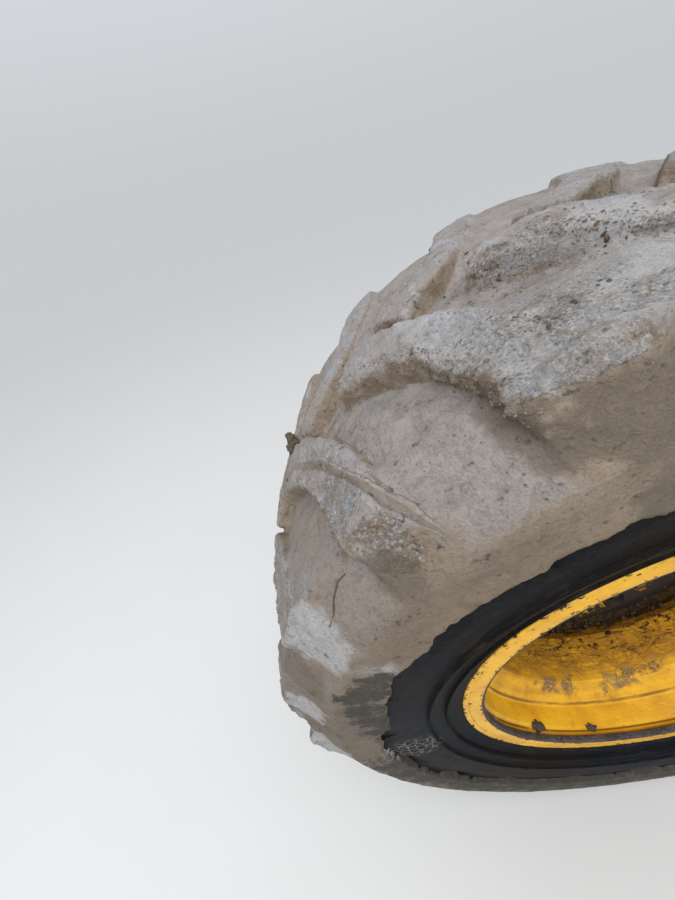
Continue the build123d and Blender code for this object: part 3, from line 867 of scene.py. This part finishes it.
# Middles of the wet film where the low side of the mud is half washed off, and its reach and fade
washed_spots = ((-0.487, -0.641, 0.205), (-0.502, -0.641, 0.165), (-0.51, -0.641, 0.12),
                (-0.506, -0.641, 0.075), (-0.496, -0.64, 0.03))
washed_reach = (0.008, 0.046)


def mud_finish():
    """Dried mud: pink-grey floors, brown flanks and sidewall, pale dust and granular crust on the lugs;
    painted shade on steep faces and lug ends, partly painted sky sheen on the lugs' tops, and painted
    shade and highlights along the lap.
    """
    material, shader, place = new_finish("dried_mud", 0.22)
    _, y, z, radius = axes_of(place)
    level, height, lug, shore, pale, granular, damp_and_shadow, lap, lapped = (attribute_of(shader, name) for name in (
        "level", "height", "lug", "shore", "pale", "granular", "damp_and_shadow", "lap", "lapped"))
    broad = blots(place, 0.14, 5.0)
    middle = blots(place, 0.03, 6.0, 0.65)
    fine = blots(place, 0.007, 6.0, 0.7)
    grains = blots(place, 0.0024, 3.0, 0.7)
    dragged = blots(stretched(place, 1.0, 0.22, 1.0), 0.012, 5.0, 0.6, 1.2)

    # Darker and browner towards the bottom of the wheel.
    lower_down = between(z, 0.47, 0.35)
    floor_mud = layered(
        tint(between(middle, 0.3, 0.7), (0.335, 0.302, 0.282), (0.262, 0.228, 0.206)),
        ((0.19, 0.2, 0.198), between(blots(place, 0.045, 5.0, 0.6, 0.8), 0.56, 0.66), 0.55),
        ((0.245, 0.235, 0.225), between(broad, 0.5, 0.66), 0.6),
        ((0.225, 0.187, 0.15), lower_down, 0.7))
    side_mud = layered(
        tint(between(broad, 0.35, 0.62), (0.245, 0.184, 0.13), (0.32, 0.25, 0.18)),
        ((0.34, 0.27, 0.2), between(fine, 0.5, 0.7), 0.35),
        ((0.175, 0.132, 0.093), lower_down, 0.5))
    # Brown for steep faces: partly browner mud, partly painted shade.
    flank_mud_and_shade = tint(between(middle, 0.4, 0.6), (0.225, 0.168, 0.118), (0.32, 0.255, 0.19))
    # The lugs' outer ends take the side mud's brown: partly painted shade on faces turned away from the
    # light.
    lug_end_and_shade = times(between(blurred(y, middle, 0.012), outer_face + 0.004, outer_face - 0.008),
                    between(blurred(lug, middle, 0.5), 0.34, 0.14))
    low = sums("MAXIMUM", between(blurred(radius, middle, 0.03), 0.58, 0.56), lug_end_and_shade)
    # Steep faces, found by which way each face turns, get the flank colour: painted shade.
    flank_and_shade = between(sums("ADD", level, times(middle, 0.25)), 0.88, 0.58)
    near_edge = between(sums("ADD", shore, times(middle, 0.03)), 0.05, 0.018)

    on_lug = sums("ADD", times(between(lug, 0.24, 0.15), 0.6), 0.4)
    top = times(between(height, 0.72, 0.92), on_lug, between(radius, 0.61, 0.632))
    dusty = times(top, between(sums("ADD", middle, times(broad, 0.6)), 0.74, 0.98), 0.8)
    pale = times(sums("MAXIMUM", dusty, pale), between(fine, 0.75, 0.35, 0.55, 0.95))
    crust = sums("MAXIMUM", times(top, between(broad, 0.46, 0.6), 0.8), granular)
    across = stretched(place, 1.0, 0.35, 1.0)
    flecked = blots(place, 0.0034, 4.0, 0.75)
    dark_flecks = times(between(flecked, 0.53, 0.6), between(middle, 0.4, 0.55))

    # Band where mud laps over the first lug: painted shade on its scarp, painted highlights and a small
    # ridge along its two edges.
    torn = sums("ADD", sums("SUBTRACT", fine, 0.5), sums("SUBTRACT", middle, 0.5))
    lap = sums("ADD", lap, times(torn, 0.8))
    lap_scarp_shade = times(between(lap, 0.02, 0.12), between(lap, 1.0, 0.9))
    edges = sums("MAXIMUM", along_line(lap, 1.24, 0.38), times(along_line(lap, -0.12, 0.26), 0.7))
    edges = times(edges, lapped)

    pits = times(between(cells(place, 0.013), 0.14, 0.09), between(blots(place, 0.04, 3.0), 0.5, 0.58))
    film = near_spot(place, washed_spots[0], *washed_reach)
    for spot in washed_spots[1:]:
        film = sums("MAXIMUM", film, near_spot(place, spot, *washed_reach))
    film = sums("MAXIMUM", film, times(between(z, -0.04, -0.2), between(radius, 0.6, 0.52)))
    film = between(sums("ADD", film, times(torn, 2.4)), 0.22, 0.8)

    colour = layered(
        floor_mud,
        (side_mud, low),
        # painted shade on steep faces, with brown flank mud
        (flank_mud_and_shade, flank_and_shade, between(radius, 0.57, 0.595)),
        ((0.3, 0.212, 0.132), near_edge, 0.6),
        # darker towards the bottom of the wheel
        ((0.135, 0.11, 0.086), between(z, 0.25, 0.07, 0.0, 0.6)),
        ((0.435, 0.43, 0.435), pale),
        ((0.36, 0.29, 0.2), crust, between(blots(place, 0.016, 5.0, 0.65), 0.53, 0.62), 0.55),
        # Blue-grey streaks on the lugs' tops: partly blue-grey mud, partly painted sky sheen.
        ((0.35, 0.372, 0.415), top, between(blots(across, 0.022, 5.0, 0.65, 0.8), 0.52, 0.62), 0.65),
        ((0.075, 0.082, 0.078), crust, dark_flecks, 0.62),
        ((0.6, 0.59, 0.57), crust, between(flecked, 0.46, 0.39), 0.72),
        # Dark brown patches: partly damp mud, partly painted shadow under a lug's crest and on lug ends.
        ((0.16, 0.124, 0.092), damp_and_shadow, 0.78),
        # painted shade on the lap's scarp, then painted highlights along its edges
        ((0.245, 0.2, 0.155), lap_scarp_shade, 0.8),
        ((0.4, 0.385, 0.365), edges, 0.45),
        ((0.15, 0.125, 0.105), between(dragged, 0.43, 0.36), 0.35),
        ((0.085, 0.065, 0.048), pits, 0.55),
        ((0.155, 0.13, 0.108), between(grains, 0.5, 0.64), 0.34),
        ((0.045, 0.043, 0.037), film, 0.88),
        ((0.1, 0.085, 0.07), between(fine, 0.5, 0.36), 0.28))
    lighter = new_node(shader, "HueSaturation", {"Value": 1.2, "Saturation": 0.94, "Color": colour})
    gritty = sums("ADD", times(crust, flecked), times(fine, 0.3))
    surface(shader, lighter.outputs[0], between(middle, 0.3, 0.7, 0.66, 0.86), (grains, 0.0014),
            (gritty, 0.007), (middle, 0.0025), (fine, 0.0015), (dragged, 0.0026), (pits, -0.0015),
            (edges, 0.001))
    return material


mud = mud_finish()
dress(mud_pieces[0], mud, "wheel", "mud", "caked_mud")
dress(mud_pieces[1], mud, "wheel", "mud")


# Crumbs: dried mud broken off the crusted lugs, which lies loose on the mud.
# Modelled once as a rough pebble and repeated as one joined mesh for each row.
def pebble(name, subdivisions):
    """A ball of mud with a rough, uneven shape, 1 metre in radius."""
    piece = primitive(name, bpy.ops.mesh.primitive_ico_sphere_add, subdivisions=subdivisions, radius=1.0)
    places = rows_of(piece)
    moved_to(piece, places * (1 + 0.34 * lumps(places, 0.9, 2, 31))[:, None] * (1.0, 0.85, 0.75))
    return piece


def strewn(name, model, spots, outward, sizes, seed):
    """One joined mesh of the model repeated at each spot, turned at random and sunk to its waist."""
    rng = np.random.default_rng(seed)
    places = rows_of(model)
    faces = [tuple(face.vertices) for face in model.data.polygons]
    all_places, all_faces = [], []
    for spot, out, size in zip(spots, outward, sizes):
        spin = Matrix.Rotation(rng.uniform(0, 6.28), 3, "Z")
        turn = Vector(out).to_track_quat("Z", "Y").to_matrix() @ spin
        stretch = np.array([size, size * rng.uniform(0.6, 1.0), size * rng.uniform(0.6, 1.0)])
        start = len(all_places) * len(places)
        all_places.append(places * stretch @ np.array(turn).T + spot)
        all_faces += [tuple(start + i for i in face) for face in faces]
    mesh = bpy.data.meshes.new(name)
    mesh.from_pydata(np.concatenate(all_places).tolist(), [], all_faces)
    return placed(name, mesh)


def crumb_spots(cake, count, seed):
    """Points of the mud where crumbs stick: most on the crusted lugs and below their lower edges."""
    rng = np.random.default_rng(seed)
    places = rows_of(cake)
    _, radius, inboard = wheel_places(places)
    turn = lug_turn(places)
    gap, share = gap_of(turn)
    crest = soft_step(share, 0.1, 0.16) * soft_step(share, 0.24, 0.19) * soft_step(inboard, 0.27, 0.235)
    crest *= np.array(crumbly_lugs)[gap]
    granular = patched(places, granular_patches, 22)
    on_lug = soft_step(np.abs(turn - np.round(turn)), 0.2, 0.1)
    chance = (0.015 + 6.0 * crest + 0.7 * granular + 0.12 * on_lug) * soft_step(radius, 0.618, 0.636)
    chance *= 0.3 + soft_step(lumps(places, 0.06, 2, 33), -0.2, 0.5)
    chosen = rng.choice(len(places), count, replace=False, p=chance / chance.sum())
    sizes = 0.0009 + 0.0019 * rng.random(count) ** 3
    return places[chosen], rows_of(cake, "normal")[chosen], sizes


material, shader, place = new_finish("clods", 0.2)
fine = blots(place, 0.002)
colour = layered(tint(between(blots(place, 0.009), 0.4, 0.6), (0.125, 0.096, 0.07), (0.27, 0.225, 0.18)),
                 ((0.22, 0.182, 0.145), between(fine, 0.45, 0.6)))
surface(shader, colour, between(fine, 0.3, 0.7, 0.75, 0.95), (fine, 0.0006))
small_pebble = pebble("crumb", 1)
for cake, name, count, seed in ((mud_pieces[0], "crumbs_on_outer_row", 7600, 41),
                                (mud_pieces[1], "crumbs_on_inner_row", 900, 42)):
    crumbs = strewn(name, small_pebble, *crumb_spots(cake, count, seed), seed)
    dress(crumbs, material, "wheel", "mud")


# Dark clods: damp soil thrown up on the mud, single or in clusters, and one bigger knob on a lug's end.
# Repeated from the same pebble in clusters: angle, distance in on the outer row, and number.
clod_clusters = ((113.8, 0.201, 12), (113.7, 0.222, 5), (115.7, 0.086, 12), (129.4, 0.192, 2),
                 (118.5, 0.262, 5), (107.0, 0.15, 8), (111.8, 0.074, 6), (124.3, 0.026, 2), (137.0, 0.12, 4),
                 (150.3, 0.225, 8), (99.0, 0.11, 9), (60.0, 0.15, 10), (20.0, 0.09, 8), (-30.0, 0.18, 12),
                 (-75.0, 0.06, 6), (-120.0, 0.14, 9), (-150.0, 0.04, 6))
knob_clods = 14
knob_half_size = (0.01, 0.02, 0.016)
cake_places, cake_normals = rows_of(mud_pieces[0]), rows_of(mud_pieces[0], "normal")
cake_angle, cake_radius, cake_inboard = wheel_places(cake_places)


def nearest_on_cake(turn, inboard, count=1):
    """The mud's points nearest to an angle and a distance in, on the tread side of the outer row."""
    around = np.radians((cake_angle - turn + 180) % 360 - 180) * cake_radius
    apart = np.hypot(around, cake_inboard - inboard) + (cake_radius < 0.58)
    return np.argsort(apart)[:count]


def at_place(degrees, radius, inboard):
    """A place on the wheel from its angle, radius and distance in from the outer face."""
    turn = math.radians(degrees)
    return (radius * math.cos(turn), outer_face + inboard, radius * math.sin(turn))


rng = np.random.default_rng(61)
chosen = np.concatenate([rng.choice(nearest_on_cake(turn, inboard, 6 * count), count, replace=False)
                         for turn, inboard, count in clod_clusters])
sizes = 0.001 + 0.0034 * rng.random(len(chosen)) ** 2
knob = np.array(at_place(150.3, 0.664, 0.352))
knob_spots = knob + rng.uniform(-1, 1, (knob_clods, 3)) * knob_half_size
dark_clods = strewn("dark_clods", small_pebble, np.concatenate((cake_places[chosen], knob_spots)),
                    np.concatenate((cake_normals[chosen], np.tile(knob * (1, 0, 1), (knob_clods, 1)))),
                    np.concatenate((sizes, rng.uniform(0.009, 0.015, knob_clods))), 62)
bpy.data.objects.remove(small_pebble)
material, shader, place = new_finish("damp_soil")
fine = blots(place, 0.002)
surface(shader, tint(between(fine, 0.35, 0.65), (0.05, 0.037, 0.026), (0.13, 0.1, 0.07)),
        between(fine, 0.3, 0.7, 0.7, 0.92), (fine, 0.0008))
dress(dark_clods, material, "wheel", "mud")


# Stalk: a dry stalk that lies across the mud below the first lug.
# A thin round stick, bent down to the mud.
stalk_line = ((141.9, 0.0118), (143.3, 0.0085), (145.0, 0.003), (146.8, -0.003), (148.7, -0.009))
stalk_radius = 0.0008
stalk = primitive("dry_stalk", bpy.ops.mesh.primitive_cylinder_add, vertices=6, radius=stalk_radius,
                  depth=1.0)
edited(stalk, *[(bpy.ops.mesh.bisect, {"plane_co": (0, 0, height), "plane_no": (0, 0, 1)})
                for height in (0.25, 0.0, -0.25)])
under = np.array([nearest_on_cake(turn, inboard)[0] for turn, inboard in stalk_line])
anchors = cake_places[under] + cake_normals[under] * stalk_radius
places = rows_of(stalk)
share = (0.5 - places[:, 2]) * (len(anchors) - 1)
centre = np.stack([np.interp(share, range(len(anchors)), column) for column in anchors.T], axis=1)
side = np.array(Vector(anchors[-1] - anchors[0]).normalized().to_track_quat("Z", "Y").to_matrix())
moved_to(stalk, centre + places[:, :2] @ side[:, :2].T)
material, shader, place = new_finish("dry_stalk")
fine = blots(place, 0.003, 3.0)
surface(shader, tint(fine, (0.045, 0.032, 0.02), (0.12, 0.09, 0.06)), between(fine, 0.3, 0.7, 0.6, 0.85),
        (fine, 0.0003))
dress(stalk, material, "wheel", "mud")


# Muck in the rim: black wet lumps packed where the disc meets the rim, and two heaps in the outer lip.
# Modelled once as a rough ball and repeated as one joined mesh.
lip_lumps = ((231.4, 0.0085), (232.9, 0.0115), (234.3, 0.0105), (235.4, 0.0075), (255.6, 0.0075),
             (256.8, 0.0095), (257.9, 0.007))
rng = np.random.default_rng(51)
muck_spots = [at_place(turn, 0.3255, 0.0245) for turn, size in lip_lumps]
muck_sizes = [size for turn, size in lip_lumps]
muck_outward = [Vector((-x, 0.0, -z)) for x, y, z in muck_spots]
for number in range(440):
    turn, share, size = rng.uniform(0, 360), rng.random(), rng.uniform(0.003, 0.0095)
    on_rim_wall = number % 2
    if on_rim_wall:
        spot = at_place(turn, 0.29 + 0.033 * share, 0.205 + 0.036 * share)
        outward = Vector((-spot[0], -0.3, -spot[2]))
    else:
        spot = at_place(turn, 0.322 - 0.05 * share ** 2, 0.2475)
        outward = Vector((0.0, -1.0, 0.0))
    muck_spots.append(spot)
    muck_outward.append(outward)
    muck_sizes.append(size * (1.0 - 0.5 * share))
rough_ball = pebble("muck_ball", 2)
muck_lumps = strewn("muck_in_rim", rough_ball, np.array(muck_spots), muck_outward, muck_sizes, 52)
bpy.data.objects.remove(rough_ball)
material, shader, place = new_finish("black_muck")
fine = blots(place, 0.005, 5.0, 0.7)
surface(shader, tint(between(fine, 0.4, 0.65), wet_muck, (0.085, 0.06, 0.04)),
        between(fine, 0.3, 0.7, 0.45, 0.85), (fine, 0.0015))
dress(muck_lumps, material, "wheel", "mud")


# Studio: a pale floor at the tyre's foot, a soft grey sky and one large soft light above.
# The camera stands close in front of the wheel and above it, as in the picture.
floor_gap = 0.0006
floor = primitive("studio_floor", bpy.ops.mesh.primitive_plane_add, size=400,
                  location=(0, 0, tyre_low.z - floor_gap))
material, shader, place = new_finish("pale_floor", 0.1)
surface(shader, tint(blots(place, 0.5), (0.71, 0.705, 0.69), (0.74, 0.735, 0.72)), 0.95)
floor.data.materials.append(material)

sky = bpy.data.worlds.new("soft_sky")
sky.use_nodes = True
background = sky.node_tree.nodes["Background"]
looking = new_node(background, "TexCoord", {}).outputs["Generated"]
rise = between(axes_of(looking)[2], 0.0, 0.9)
feed(background.inputs["Color"], tint(rise, (0.545, 0.56, 0.58), (0.82, 0.85, 0.9)))
feed(background.inputs["Strength"], 1.05)
bpy.context.scene.world = sky
bpy.context.scene.view_settings.view_transform = "Standard"

lamp = bpy.data.lights.new("soft_box", "AREA")
lamp.shape = "DISK"
lamp.size = 3.0
lamp.energy = 80
lamp_stand = placed("soft_box", lamp)
lamp_stand.location = (-0.9, -2.0, 3.0)
lamp_aim = Vector((-0.2, -0.3, 0.2))
lamp_stand.rotation_euler = (lamp_aim - lamp_stand.location).to_track_quat("-Z", "Y").to_euler()

lens = bpy.data.cameras.new("photo_view")
lens.sensor_width = 36.0
lens.lens = 14.4
camera = placed("photo_view", lens)
sideways = Vector((0.97997, -0.05701, -0.1908))
upwards = Vector((0.18756, 0.58614, 0.7882))
backwards = Vector((0.0669, -0.8082, 0.5851))
turned = Matrix((sideways, upwards, backwards)).transposed().to_4x4()
camera.matrix_world = Matrix.Translation((-0.446, -0.8326, 0.7102)) @ turned
bpy.context.scene.camera = camera
